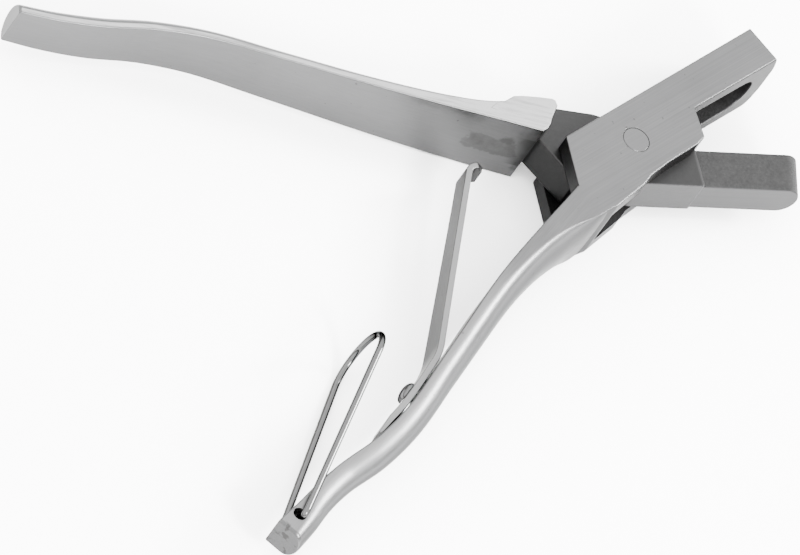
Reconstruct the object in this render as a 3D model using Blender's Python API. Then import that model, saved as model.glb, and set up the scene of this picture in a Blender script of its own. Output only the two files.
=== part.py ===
"""Strip ear tag applicator: two forged levers crossing in a box joint.

Metres in the file, millimetres in the sizes. The tool lies on its side: +X points
to the jaws, +Z is the pivot's axis, and z = 0 is the outer face of the lower cheek.
The slotted body carries the upper jaw and the lower handle. The jaw lever passes
through its slot, and is the same outline turned over about the X axis.
"""
import math

import bmesh
import bpy
from mathutils import Matrix, Vector

MM = 0.001

# Box joint
JOINT_WIDTH = 22.0        # over both cheeks, along the pivot
HUB_WIDTH = 11.0          # the lever where it passes through the slot
HUB_SIDE_GAP = 0.35       # between the hub and each cheek
HEAD_HALF_HEIGHT = 9.7    # cheeks and jaws reach this far from the pivot's line
RIVET_DIAMETER = 7.3
RIVET_GAP = 0.2           # round the pivot rivet
SLOT_REACH = 21.3         # radius of the slot's round end, towards the jaws
SLOT_BACK = 24.0          # from the pivot to the slot's flat end, towards the handles
EDGE_BEVEL = 0.4          # broken edges of the forged heads

# Jaws, open
JAW_ANGLE = 15.0          # each jaw from the X axis
JAW_FACE_OFFSET = 0.65    # the biting face lies this far past the pivot's line
THROAT = 22.4             # pivot to the root of the upper biting face
HUB_THROAT = 19.2         # the same on the jaw lever, where its hub steps down
HUB_NOSE = 20.6           # the hub's full width ends here, inside the slot's radius
UPPER_JAW_LENGTH = 54.0
LOWER_JAW_LENGTH = 49.2
LOWER_JAW_WIDTH = 9.6
CHANNEL_WIDTH = 11.2      # tag channel in the upper jaw
CHANNEL_TIP_WIDTH = 8.4
CHANNEL_DEPTH = 6.2
NOSE_LENGTH = 7.0         # solid nose past the channel

# Handles
HANDLE_SPLAY = 28.0       # chord of each handle from the X axis, open
HANDLE_REACH = 147.3      # root to end, along the chord
HANDLE_BOW = 5.5          # the inner face bows outwards by this much
ROOT_INNER = (-25.7, 8.4)       # start of the inner face, for the jaw lever
ROOT_SKEW = 47.0          # slant of the root's end face from the X axis
ROOT_THICKNESS = 11.1
GRIP_THICKNESS = 7.0
GRIP_FLANK = 2.3          # flat side strip beside the inner face
LEVER_END_WIDTH = 13.2
BODY_END_WIDTH = 10.0
BODY_NARROW_FROM = 0.8    # share of the lower handle's length where it is down to that
END_BLOCK_LENGTH = 11.5   # the lower handle runs on past HANDLE_REACH by this much
END_BLOCK_THICKNESS = 9.0
FACE_SINK = 0.04          # handles lie this far under the cheek faces
SECTION_CHAMFER = 0.5

# Leaf spring and its rivet
LEAF_WIDTH = 8.5
LEAF_THICKNESS = 1.4
LEAF_FOOT = 31.0          # length that lies along the lower handle
LEAF_BEND_AT = 65.5       # distance along the handle's chord where it lifts off
LEAF_ARM = 58.0
LEAF_ARM_ANGLE = 53.0     # from the X axis
LEAF_BEND_RADIUS = 9.0
HOOK_RADIUS = 2.7
HOOK_TURN = 105.0
SEAT_GAP = 0.3            # between pieces that touch
SPRING_RIVET_AT = 17.0    # from the bend, along the foot
SPRING_RIVET_SHANK = 3.2
SPRING_RIVET_HEAD = 6.4
SPRING_RIVET_DOME = 1.9
SPRING_RIVET_DEPTH = 4.2  # shank inside the handle

# Wire bail that holds the handles shut
BAIL_WIRE = 1.9
BAIL_HOLE = 3.7
BAIL_REACH = 73.0         # hole to the middle of the wire at the loop
BAIL_ANGLE = 41.5         # as it lies, from the X axis
BAIL_HOLE_BACK = 12.6     # from the handle's end face to the hole
BAIL_TURN_IN = 2.6        # each end inside the hole

MID_Z = JOINT_WIDTH / 2.0


def clear_scene():
    for old in list(bpy.data.objects):
        bpy.data.objects.remove(old, do_unlink=True)


def metal(name, colour, roughness):
    mat = bpy.data.materials.new(name)
    mat.use_nodes = True
    shader = mat.node_tree.nodes["Principled BSDF"]
    shader.inputs["Base Color"].default_value = (*colour, 1.0)
    shader.inputs["Metallic"].default_value = 1.0
    shader.inputs["Roughness"].default_value = roughness
    return mat


def add_object(name, bm, mat=None, origin=(0.0, 0.0, 0.0), cutter=False):
    """Put a mesh, made in millimetres in the tool's frame, into the scene."""
    bmesh.ops.recalc_face_normals(bm, faces=bm.faces)
    bmesh.ops.translate(bm, verts=bm.verts, vec=-Vector(origin))
    bmesh.ops.scale(bm, verts=bm.verts, vec=(MM, MM, MM))
    mesh = bpy.data.meshes.new(name)
    bm.to_mesh(mesh)
    bm.free()
    mesh.shade_smooth()
    mesh.set_sharp_from_angle(angle=math.radians(28.0))
    obj = bpy.data.objects.new(name, mesh)
    obj.location = Vector(origin) * MM
    bpy.context.scene.collection.objects.link(obj)
    if mat:
        mesh.materials.append(mat)
    if cutter:
        obj.hide_render = True
        obj.display_type = "WIRE"
    return obj


def combine(target, tool, operation):
    mod = target.modifiers.new(operation.lower() + " " + tool.name, "BOOLEAN")
    mod.operation = operation
    mod.solver = "EXACT"
    mod.object = tool
    tool.hide_render = True
    tool.display_type = "WIRE"


def polar(radius, degrees):
    turn = math.radians(degrees)
    return Vector((radius * math.cos(turn), radius * math.sin(turn)))


def turned(point, degrees):
    return Matrix.Rotation(math.radians(degrees), 2) @ Vector(point)


def mirrored(points):
    return [Vector((p[0], -p[1])) for p in points]


def prism(outline, low, high, bevel=0.0):
    """Extrude a closed outline from z = low to z = high and break its rims."""
    bm = bmesh.new()
    base = [bm.verts.new((p[0], p[1], low)) for p in outline]
    face = bm.faces.new(base)
    grown = bmesh.ops.extrude_face_region(bm, geom=[face])
    top = [v for v in grown["geom"] if isinstance(v, bmesh.types.BMVert)]
    bmesh.ops.translate(bm, verts=top, vec=(0.0, 0.0, high - low))
    if bevel:
        rims = [e for e in bm.edges if abs(e.verts[0].co.z - e.verts[1].co.z) < 1e-6]
        bmesh.ops.bevel(bm, geom=rims, offset=bevel, segments=1, affect="EDGES")
    return bm


def loft(rings):
    """Skin a list of rings that have the same number of points, and cap both ends."""
    bm = bmesh.new()
    rows = [[bm.verts.new(p) for p in ring] for ring in rings]
    count = len(rows[0])
    for a, b in zip(rows, rows[1:]):
        for i in range(count):
            j = (i + 1) % count
            bm.faces.new((a[i], a[j], b[j], b[i]))
    bm.faces.new(rows[0])
    bm.faces.new(rows[-1])
    return bm


def cylinder(radius, low, high, centre=(0.0, 0.0), segments=48):
    ring = [Vector(centre) + polar(radius, 360.0 * i / segments) for i in range(segments)]
    return prism(ring, low, high)


def smooth_line(knots, share):
    """Catmull-Rom curve through (share, value) knots, read at one share."""
    for i in range(len(knots) - 1):
        (x0, y0), (x1, y1) = knots[i], knots[i + 1]
        if share <= x1 or i == len(knots) - 2:
            break
    before = knots[max(i - 1, 0)]
    after = knots[min(i + 2, len(knots) - 1)]
    span = x1 - x0
    t = (share - x0) / span
    m0 = (y1 - before[1]) / (x1 - before[0]) * span
    m1 = (after[1] - y0) / (after[0] - x0) * span
    return ((2 * t ** 3 - 3 * t ** 2 + 1) * y0 + (t ** 3 - 2 * t ** 2 + t) * m0
            + (3 * t ** 2 - 2 * t ** 3) * y1 + (t ** 3 - t ** 2) * m1)


# Shares of HANDLE_REACH against shares of HANDLE_BOW
BOW = [(-0.2, -0.05), (0.0, 0.0), (0.25, 0.27), (0.50, 0.76), (0.63, 1.0), (0.735, 0.80),
       (0.835, 0.26), (0.92, 0.02), (1.0, 0.0), (1.2, -0.05)]


def handle_point(along):
    """Point of the jaw lever handle's inner face, at a distance along its chord."""
    chord = polar(1.0, 180.0 - HANDLE_SPLAY)
    outward = Vector((-chord.y, chord.x)) * -1.0
    bow = HANDLE_BOW * smooth_line(BOW, along / HANDLE_REACH)
    return Vector(ROOT_INNER) + chord * along + outward * bow


def handle_outward(along):
    """Unit vector from the inner face towards the rounded back of the handle."""
    tangent = (handle_point(along + 0.5) - handle_point(along - 0.5)).normalized()
    return Vector((tangent.y, -tangent.x))


def handle_section(point, outward, width, flank, crown, chamfer=SECTION_CHAMFER):
    """D-shaped ring: flat inner face, flat flanks, and half an ellipse as the back."""
    half = width / 2.0
    steps = 10
    shape = [(-half + chamfer, 0.0), (-half, chamfer)]
    for i in range(steps + 1):
        turn = math.pi * (1.0 - i / steps)
        shape.append((half * math.cos(turn), flank + crown * math.sin(turn)))
    shape += [(half, chamfer), (half - chamfer, 0.0)]
    ring = []
    for across, height in shape:
        place = point + outward * height
        ring.append(Vector((place.x, place.y, MID_Z + across)))
    return ring


def handle_loft(side, reach, end_width, narrow_from, end_thickness, end_flank):
    """One handle. side is 1 for the jaw lever and -1 for the slotted body.

    Its width falls evenly from the cheeks' to end_width at the share narrow_from.
    """
    root_width = JOINT_WIDTH - 2.0 * FACE_SINK
    # share of the reach: thickness and flank height
    thickness = [(-0.2, ROOT_THICKNESS), (0.0, ROOT_THICKNESS), (0.08, 8.9), (0.16, 7.7),
                 (0.3, 7.2), (0.5, GRIP_THICKNESS), (0.86, GRIP_THICKNESS),
                 (1.0, end_thickness), (1.2, end_thickness)]
    flank = [(-0.2, 10.0), (0.0, 9.9), (0.05, 6.4), (0.1, 4.2), (0.18, 2.9), (0.35, GRIP_FLANK),
             (0.86, GRIP_FLANK), (1.0, end_flank), (1.2, end_flank)]
    shares = [0.0, 0.015, 0.03, 0.05, 0.07, 0.095, 0.125, 0.16, 0.2, 0.26, 0.32, 0.38, 0.44,
              0.5, 0.55, 0.6, 0.65, 0.7, 0.74, 0.78, 0.82, 0.86, 0.9, 0.94, 0.97]
    rings = []
    for share in shares:
        along = share * reach
        settle = min(share / 0.1, 1.0)
        outward = handle_outward(along)
        perpendicular = math.degrees(math.atan2(outward.y, outward.x))
        aim = ROOT_SKEW + (perpendicular - ROOT_SKEW) * settle
        width = root_width + (end_width - root_width) * min(share / narrow_from, 1.0)
        thick = smooth_line(thickness, share)
        low = smooth_line(flank, share)
        rings.append(handle_section(handle_point(along), polar(1.0, aim), width, low,
                                    thick - low))
    # rounded end
    end_point = handle_point(reach)
    outward = handle_outward(reach)
    back = (handle_point(reach - 1.0) - end_point).normalized()
    end_round = 2.6
    for turn in (0.0, 35.0, 65.0, 90.0):
        inset = end_round * 0.75 * (1.0 - math.cos(math.radians(turn)))
        place = end_point + back * end_round * (1.0 - math.sin(math.radians(turn)))
        rings.append(handle_section(place + outward * inset * 0.5, outward,
                                    end_width - 2.0 * inset, end_flank - inset * 0.5,
                                    end_thickness - end_flank - inset * 0.5))
    if side < 0:
        rings = [[Vector((p.x, -p.y, p.z)) for p in ring] for ring in rings]
    return loft(rings)


def head_outline(jaw_length, jaw_end, face, throat_at):
    """Outline of cheeks and jaw for the slotted body, from the jaw's tip round."""
    h = HEAD_HALF_HEIGHT
    corner = 1.6
    nose = [(jaw_length + jaw_end, face + 0.8), (jaw_length, h - corner * 0.4),
            (jaw_length - corner * 0.4, h)]
    heel = [(-18.4, h), (-24.6, -1.6), (-26.0, -2.4)]
    web = [turned((-29.5, -11.3), -JAW_ANGLE), turned((-22.5, -19.9), -JAW_ANGLE)]
    belly = [(-20.2, -13.0), (-7.4, -11.5), (-4.0, -10.4), (3.9, -h - 0.1), (15.0, -h + 0.2),
             (18.4, -h + 1.1)]
    throat = [(throat_at, face), (jaw_length + jaw_end - 0.8, face)]
    return [turned(p, JAW_ANGLE) for p in nose + heel + web + belly + throat]


def slot_cutter():
    """Slot for the hub: a round end towards the jaws and a flat one to the handle."""
    half = HUB_WIDTH / 2.0 + HUB_SIDE_GAP
    steps = 28
    start, stop = -80.0, 82.0
    arc = [polar(SLOT_REACH, start + (stop - start) * i / steps) for i in range(steps + 1)]
    far = 34.0
    outline = arc + [Vector((arc[-1].x, far)), Vector((-SLOT_BACK - 12.0, far)),
                     turned((-24.6 - 8.0, -1.6 + 4.0), JAW_ANGLE),
                     Vector((-SLOT_BACK, -8.6)), Vector((-SLOT_BACK, -far)),
                     Vector((arc[0].x, -far))]
    return prism(outline, MID_Z - half, MID_Z + half)


def channel_cutter():
    """Tag channel: narrows to the tip, where its floor and sides run out round."""
    root = SLOT_REACH - 4.0
    tip = UPPER_JAW_LENGTH - NOSE_LENGTH
    round_part = CHANNEL_TIP_WIDTH / 2.0
    half_root = CHANNEL_WIDTH / 2.0
    outline = [(root, -half_root)]
    for i in range(9):
        turn = math.radians(-90.0 + 180.0 * i / 8)
        outline.append((tip - round_part + round_part * math.cos(turn),
                        round_part * math.sin(turn)))
    outline.append((root, half_root))
    bm = prism(outline, -6.0, -JAW_FACE_OFFSET + CHANNEL_DEPTH)
    # stand the prism up: its height runs along the jaw's own v axis
    for v in bm.verts:
        place = turned((v.co.x, v.co.z), JAW_ANGLE)
        v.co = Vector((place.x, place.y, MID_Z - v.co.y))
    return bm


def lower_jaw():
    """Narrow jaw bar of the lever, with a half-round end seen from above."""
    half = LOWER_JAW_WIDTH / 2.0
    root = THROAT - 6.0
    outline = [(root, -half)]
    for i in range(13):
        turn = math.radians(-90.0 + 180.0 * i / 12)
        outline.append((LOWER_JAW_LENGTH - half + half * math.cos(turn),
                        half * math.sin(turn)))
    outline.append((root, half))
    bm = prism(outline, -JAW_FACE_OFFSET, HEAD_HALF_HEIGHT - 0.05, bevel=0.3)
    for v in bm.verts:
        place = turned((v.co.x, v.co.z), JAW_ANGLE)
        v.co = Vector((place.x, -place.y, MID_Z + v.co.y))
    return bm


def bail_hole_place():
    along = HANDLE_REACH + END_BLOCK_LENGTH - BAIL_HOLE_BACK
    place = handle_point(along) + handle_outward(along) * END_BLOCK_THICKNESS * 0.5
    return Vector((place.x, -place.y))


def leaf_frame():
    """Where the leaf's foot starts and the way it runs, along the lower handle."""
    start = handle_point(LEAF_BEND_AT)
    stop = handle_point(LEAF_BEND_AT + LEAF_FOOT)
    start, stop = mirrored([start, stop])
    way = (start - stop).normalized()
    inward = Vector((-way.y, way.x))
    lift = LEAF_THICKNESS / 2.0 + SEAT_GAP
    return start + inward * lift, way, inward


def leaf_path():
    """Middle line of the leaf: foot, root bend, straight arm and hooked end."""
    start, way, inward = leaf_frame()
    heading = math.degrees(math.atan2(way.y, way.x))
    path = [start - way * LEAF_FOOT * (1.0 - i / 6) for i in range(7)]
    turn = LEAF_ARM_ANGLE - heading
    centre = start + inward * LEAF_BEND_RADIUS
    for i in range(1, 7):
        angle = heading - 90.0 + turn * i / 6
        path.append(centre + polar(LEAF_BEND_RADIUS, angle))
    arm = polar(1.0, LEAF_ARM_ANGLE)
    foot_of_arm = path[-1]
    path += [foot_of_arm + arm * LEAF_ARM * i / 8 for i in range(1, 9)]
    centre = path[-1] + polar(HOOK_RADIUS, LEAF_ARM_ANGLE - 90.0)
    for i in range(1, 9):
        path.append(centre + polar(HOOK_RADIUS, LEAF_ARM_ANGLE + 90.0 - HOOK_TURN * i / 8))
    last = polar(1.6, LEAF_ARM_ANGLE - HOOK_TURN)
    path.append(path[-1] + last)
    return path


def leaf_mesh():
    path = leaf_path()
    rings = []
    for i, here in enumerate(path):
        before = path[max(i - 1, 0)]
        after = path[min(i + 1, len(path) - 1)]
        way = (after - before).normalized()
        side = Vector((-way.y, way.x)) * LEAF_THICKNESS / 2.0
        narrow = 1.0
        if i == 0:
            narrow = 0.55
        elif i == 1:
            narrow = 0.9
        elif i == len(path) - 1:
            narrow = 0.62
        half = LEAF_WIDTH / 2.0 * narrow
        thin = 0.45 if i == 0 else 1.0
        low, high = here - side, here - side + side * 2.0 * thin
        rings.append([Vector((low.x, low.y, MID_Z - half)), Vector((low.x, low.y, MID_Z + half)),
                      Vector((high.x, high.y, MID_Z + half)),
                      Vector((high.x, high.y, MID_Z - half))])
    return loft(rings)


def spring_rivet_axis():
    """Seat of the rivet head on the leaf's foot, and the way the head points."""
    start, way, inward = leaf_frame()
    seat = start - way * SPRING_RIVET_AT + inward * (LEAF_THICKNESS / 2.0 + SEAT_GAP)
    return seat, inward


def turned_solid(profile, seat, axis, segments=28):
    """Revolve (radius, height) points about an axis that lies in the XY plane."""
    up = Vector((axis.x, axis.y, 0.0)).normalized()
    across = Vector((-up.y, up.x, 0.0))
    lift = Vector((0.0, 0.0, 1.0))
    base = Vector((seat.x, seat.y, MID_Z))
    rings = []
    for radius, height in profile:
        ring = []
        for i in range(segments):
            turn = 2.0 * math.pi * i / segments
            ring.append(base + up * height
                        + (across * math.cos(turn) + lift * math.sin(turn)) * radius)
        rings.append(ring)
    return loft(rings)


def spring_rivet_mesh():
    seat, axis = spring_rivet_axis()
    shank = SPRING_RIVET_SHANK / 2.0
    head = SPRING_RIVET_HEAD / 2.0
    depth = LEAF_THICKNESS + 2.0 * SEAT_GAP + SPRING_RIVET_DEPTH
    profile = [(shank - 0.3, -depth), (shank, -depth + 0.3), (shank, 0.0), (head, 0.0)]
    for i in range(1, 7):
        turn = math.radians(15.0 * i)
        profile.append((max(head * math.cos(turn), 0.25), SPRING_RIVET_DOME * math.sin(turn)))
    return turned_solid(profile, seat, axis)


def round_cutter(radius, seat, axis, low, high):
    return turned_solid([(radius, low), (radius, high)], seat, axis)


def bail_mesh():
    """Round wire bent to a U, with both ends turned into the handle's cross hole."""
    hole = bail_hole_place()
    way = polar(1.0, BAIL_ANGLE)
    wire = BAIL_WIRE / 2.0
    leg = BODY_END_WIDTH / 2.0 + SEAT_GAP + wire
    inside = leg - wire - SEAT_GAP - BAIL_TURN_IN
    bend = 1.6
    path = [(0.0, inside)]
    for i in range(6):
        turn = math.radians(90.0 * i / 5)
        path.append((bend - bend * math.cos(turn), leg - bend + bend * math.sin(turn)))
    straight = BAIL_REACH - leg
    path += [(bend + (straight - bend) * i / 4, leg) for i in range(1, 4)]
    for i in range(17):
        turn = math.radians(90.0 - 180.0 * i / 16)
        path.append((straight + leg * math.cos(turn), leg * math.sin(turn)))
    path += [(p, -q) for p, q in reversed(path[:10])]
    sides = 12
    rings = []
    for i, (out, across) in enumerate(path):
        before = Vector(path[max(i - 1, 0)])
        after = Vector(path[min(i + 1, len(path) - 1)])
        run = (after - before).normalized()
        normal = Vector((-run.y, run.x))
        ring = []
        for k in range(sides):
            turn = 2.0 * math.pi * k / sides
            o = out + normal.x * wire * math.cos(turn)
            a = across + normal.y * wire * math.cos(turn)
            flat = Vector((-way.y, way.x)) * wire * math.sin(turn)
            place = hole + way * o + flat
            ring.append(Vector((place.x, place.y, MID_Z + a)))
        rings.append(ring)
    return loft(rings)


def pivot_rivet_mesh():
    radius = RIVET_DIAMETER / 2.0
    edge = 0.25
    heights = [(radius - edge, 0.0), (radius, edge), (radius, JOINT_WIDTH - edge),
               (radius - edge, JOINT_WIDTH)]
    rings = []
    for r, z in heights:
        rings.append([Vector((*polar(r, 360.0 * i / 48), z)) for i in range(48)])
    return loft(rings)


def build_body(steel):
    body = add_object("slotted_body", prism(head_outline(
        UPPER_JAW_LENGTH, 0.4, -JAW_FACE_OFFSET, THROAT), 0.0, JOINT_WIDTH,
        bevel=EDGE_BEVEL), steel)
    handle = add_object("lower handle blank", handle_loft(
        -1, HANDLE_REACH + END_BLOCK_LENGTH, BODY_END_WIDTH, BODY_NARROW_FROM,
        END_BLOCK_THICKNESS, END_BLOCK_THICKNESS * 0.72), cutter=True)
    slot = add_object("slot cutter", slot_cutter(), cutter=True)
    channel = add_object("channel cutter", channel_cutter(), cutter=True)
    bore = add_object("pivot cutter", cylinder(RIVET_DIAMETER / 2.0 + RIVET_GAP, -2.0,
                                               JOINT_WIDTH + 2.0), cutter=True)
    cross = add_object("bail hole cutter", cylinder(BAIL_HOLE / 2.0, -2.0, JOINT_WIDTH + 2.0,
                                                    bail_hole_place(), 28), cutter=True)
    seat, axis = spring_rivet_axis()
    drill = add_object("spring rivet cutter", round_cutter(
        SPRING_RIVET_SHANK / 2.0 + RIVET_GAP, seat, axis,
        -LEAF_THICKNESS - 2.0 * SEAT_GAP - SPRING_RIVET_DEPTH - SEAT_GAP, 6.0), cutter=True)
    combine(body, handle, "UNION")
    for tool in (slot, channel, bore, cross, drill):
        combine(body, tool, "DIFFERENCE")
    return drill


def build_lever(steel):
    low = MID_Z - HUB_WIDTH / 2.0
    outline = mirrored(head_outline(HUB_NOSE, 0.0, -JAW_FACE_OFFSET + 0.3, HUB_THROAT))
    lever = add_object("jaw_lever", prism(outline, low, low + HUB_WIDTH, bevel=EDGE_BEVEL),
                       steel)
    jaw = add_object("lower jaw blank", lower_jaw(), cutter=True)
    handle = add_object("upper handle blank", handle_loft(
        1, HANDLE_REACH, LEVER_END_WIDTH, 1.0, GRIP_THICKNESS - 0.8, GRIP_FLANK), cutter=True)
    bore = add_object("hub cutter", cylinder(RIVET_DIAMETER / 2.0 + RIVET_GAP, low - 2.0,
                                             low + HUB_WIDTH + 2.0), cutter=True)
    combine(lever, jaw, "UNION")
    combine(lever, handle, "UNION")
    combine(lever, bore, "DIFFERENCE")


def build_spring(drill, spring_steel, rivet_steel):
    start, _, _ = leaf_frame()
    leaf = add_object("leaf_spring", leaf_mesh(), spring_steel, origin=(start.x, start.y, MID_Z))
    combine(leaf, drill, "DIFFERENCE")
    add_object("spring_rivet", spring_rivet_mesh(), rivet_steel)


def build_bail(wire_steel):
    hole = bail_hole_place()
    add_object("wire_bail", bail_mesh(), wire_steel, origin=(hole.x, hole.y, MID_Z))


def main():
    clear_scene()
    forged = metal("satin forged steel", (0.62, 0.62, 0.63), 0.38)
    cast = metal("forged lever steel", (0.55, 0.55, 0.56), 0.42)
    bright = metal("bright steel", (0.72, 0.72, 0.73), 0.25)
    spring_steel = metal("spring steel", (0.60, 0.60, 0.61), 0.32)
    drill = build_body(forged)
    build_lever(cast)
    add_object("pivot_rivet", pivot_rivet_mesh(), forged)
    build_spring(drill, spring_steel, bright)
    build_bail(bright)


main()
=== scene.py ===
"""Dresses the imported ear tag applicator: steel pieces, finishes, floor, lights and camera.

The forms are worked out in millimetres in the tool's own frame and put into metres when
they become meshes. +X points to the jaws, +Z is the pivot's axis, and the tool lies on z = 0.
"""
import math

import bmesh
import bpy
import numpy as np
from mathutils import Matrix


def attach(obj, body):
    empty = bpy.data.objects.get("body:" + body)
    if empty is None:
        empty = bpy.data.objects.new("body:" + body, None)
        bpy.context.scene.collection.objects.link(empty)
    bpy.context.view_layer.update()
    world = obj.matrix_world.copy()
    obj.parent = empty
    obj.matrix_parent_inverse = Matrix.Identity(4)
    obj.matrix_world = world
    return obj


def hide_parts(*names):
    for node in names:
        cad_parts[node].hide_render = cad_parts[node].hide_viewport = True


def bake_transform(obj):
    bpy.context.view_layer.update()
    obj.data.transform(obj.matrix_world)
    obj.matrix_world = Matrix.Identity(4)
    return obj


bl_info = {
    "name": "Ear tag applicator",
    "version": (1, 0, 0),
    "blender": (4, 5, 0),
    "location": "3D View > Sidebar > Applicator",
    "description": "Makes the steel pieces of a strip ear tag applicator, and a studio for them",
    "category": "Add Mesh",
}

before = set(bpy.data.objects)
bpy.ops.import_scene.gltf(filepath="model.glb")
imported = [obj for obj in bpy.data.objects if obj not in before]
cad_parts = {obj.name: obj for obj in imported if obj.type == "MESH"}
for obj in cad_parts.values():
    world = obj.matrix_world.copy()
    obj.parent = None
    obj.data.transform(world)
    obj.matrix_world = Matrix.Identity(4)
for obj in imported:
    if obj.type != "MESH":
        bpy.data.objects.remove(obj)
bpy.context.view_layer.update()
MM = 0.001

# Fixed forms of the forging, in millimetres
HUB_NOSE = 20.6             # the hub's full width ends here
HUB_SIDE_GAP = 0.35
SLOT_REACH = 21.3           # radius of the slot's round end, towards the jaws
SLOT_BACK = (-24.0, -8.6)   # lower end of its flat back
SLOT_BELLY = (-15.6, -15.9)  # where the slot's back leaves through the belly
SLOT_CROWN = (-32.6, 2.4)   # where it leaves through the top, in jaw coordinates
MOUTH_TURN = math.radians(12.0)  # the slot opens in front this far below the jaw's line
FACE_OFFSET = 0.65          # biting faces past the pivot's line
NOSE_LENGTH = 7.4           # solid end past the tag channel
NOSE_ROUND = 3.0            # the nose falls back by this much at its corners, in plan
NOSE_CORNER = 4.0           # radius of the nose's far corner
JAW_LEAN = 2.5              # the lower jaw is longer at its biting face
RIM = 0.45                  # rounding of the cheeks' rims
ROOT_INNER = (-25.7, 8.4)   # start of the upper handle's inner face
ROOT_SKEW = 47.0            # degrees: the sections' way at a handle's root
ROOT_THICKNESS = 11.1
ROOT_SHIFT = 1.3            # the lower handle's root lies this far outwards
END_SHIFT = 1.6             # and so does its end block's face
END_BLOCK_LENGTH = 5.0      # the lower handle is longer by this much
END_BLOCK_THICKNESS = 8.6
BAIL_HOLE = 3.7             # its diameter
BAIL_HOLE_BACK = 6.1        # from the end block's end
BAIL_HOLE_DEPTH = 4.5       # from the chord of the inner face
LEAF_FOOT = 29.0            # length that follows the lower handle
LEAF_BEND_AT = 75.5         # root bend, from the handle's root along its chord
LEAF_BEND_RADIUS = 22.0
LEAF_CORNER = 0.3
FLEX_FROM, FLEX_TO = -2.0, 26.0  # the arm's stretch that bends as the handles close
HOOK_TURN = 95.0            # degrees
HOOK_TAIL = 0.6
SEAT_GAP = 0.3
SPRING_RIVET_AT = 9.8       # behind the root bend
SPRING_RIVET_SHANK = 3.2
SPRING_RIVET_LOW = -6.0     # the shank's foot, from its head's seat
SHANK_HOLE = 3.6            # for the spring rivet, in leaf and handle
TAB_DEPTH = 5.0
CUT_RIM = 0.02              # rim of a cutter, too small to be seen
WEB = [(-29.2, -12.8), (-21.2, -18.5)]  # corners of the web where the handle leaves the cheeks
PIVOT = (0.0, 0.0, 0.0)
UPRIGHT = (0.0, 0.0, 1.0)

# Near side of the upper handle's root, where the forging's flash was ground
TAB_OUTLINE = [(-37.5, 18.6), (-35.1, 19.6), (-31.9, 19.7), (-28.8, 20.5), (-26.3, 20.05),
               (-21.6, 18.6), (-17.9, 17.25), (-17.2, 16.5), (-17.5, 14.8), (-19.4, 13.2),
               (-21.2, 11.5), (-22.3, 10.2), (-23.8, 9.1), (-25.5, 8.5), (-30.0, 12.0)]

# Shares of a handle's reach against shares of its bow
BOW = [(-0.2, -0.05), (0.0, 0.0), (0.25, 0.27), (0.50, 0.76), (0.63, 1.0), (0.735, 0.80),
       (0.835, 0.26), (0.92, 0.02), (1.0, 0.0), (1.2, -0.05)]

# Shares of the lower handle's reach: its inner face lies this far outwards of the upper one's
LOWER_SHIFT = [(-0.2, ROOT_SHIFT), (0.0, ROOT_SHIFT), (0.12, 0.65), (0.25, 0.0), (0.38, 0.4),
               (0.5, 0.8), (0.6, 1.15), (0.68, 1.5), (0.82, 2.1), (0.92, 2.3),
               (1.0, END_SHIFT), (1.2, END_SHIFT)]

# Shares of a handle's reach: from its root on, it is thicker than the grip by this much
SWELL = [(0.08, 2.2), (0.16, 0.8), (0.3, 0.2), (0.5, -0.2), (0.7, -0.2), (0.86, 0.0)]

# Shares of a handle's reach against the height of its flat flank near the root
ROOT_FLANK = [(-0.2, 10.8), (0.0, 10.7), (0.03, 9.7), (0.06, 7.4), (0.1, 5.0), (0.15, 3.5),
              (0.25, 2.0)]

# The camera's axes and the point that it looks at, as the photograph was taken
VIEW_RIGHT = (0.7964, -0.4490, 0.4050)
VIEW_UP = (0.1802, 0.8156, 0.5498)
VIEW_TARGET = (-82.7, -18.6, 11.0)
SENSOR = 36.0

# Softboxes by name: the way to each from the tool. Their distance and size are in metres.
LAMPS = {"front softbox": (-0.04, -0.80, 0.60), "right softbox": (0.85, -0.19, 0.50)}
LAMP_TARGET = (-0.07, -0.015, 0.0)
LAMP_DISTANCE = 1.5
LAMP_SIZE = 0.35
FLOOR_SIDES = 96
FLOOR_LEVEL = -0.05


def length(name, description, millimetres):
    """A size that is given in millimetres and kept in metres."""
    return bpy.props.FloatProperty(name=name, description=description, unit="LENGTH",
                                   default=millimetres * MM, min=0.0, precision=5)


def angle(name, description, degrees):
    """An angle that is given in degrees and kept in radians."""
    return bpy.props.FloatProperty(name=name, description=description, subtype="ANGLE",
                                   default=math.radians(degrees))


def colour(name, description, default):
    """A colour with linear components."""
    return bpy.props.FloatVectorProperty(name=name, description=description, size=3,
                                         subtype="COLOR", default=default, min=0.0, max=1.0)


class HeadSizes(bpy.types.PropertyGroup):
    """Box joint and jaws."""
    joint_width: length("Joint width", "Over both cheeks", 22.0)
    hub_width: length("Hub width", "The lever where it passes through the slot", 11.0)
    half_height: length("Half height", "Reach of the cheeks from the pivot's line", 9.7)
    upper_outer: length("Upper outer face", "Pivot's line to the upper jaw's back", 10.5)
    lower_outer: length("Lower outer face", "Pivot's line to the lower jaw's back", 10.1)
    lower_bite: length("Lower biting face", "This far past the pivot's line", 1.8)
    jaw_angle: angle("Jaw angle", "Each jaw from the tool's axis, open", 15.0)
    throat: length("Throat", "Pivot to the root of the upper biting face", 23.3)
    upper_jaw: length("Upper jaw", "Pivot to the tip of the channelled jaw", 59.8)
    lower_jaw: length("Lower jaw", "Pivot to the outer tip of the plain jaw", 50.4)
    lower_jaw_width: length("Lower jaw width", "Across the plain jaw", 9.6)
    channel_width: length("Channel width", "Across the tag channel at its root", 14.4)
    channel_tip_width: length("Channel tip width", "Across the channel's round end", 12.6)
    channel_depth: length("Channel depth", "From the biting face", 6.2)
    rivet: length("Pivot rivet", "Its diameter", 7.4)
    rivet_gap: length("Rivet gap", "All round the pivot rivet", 0.12)


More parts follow.
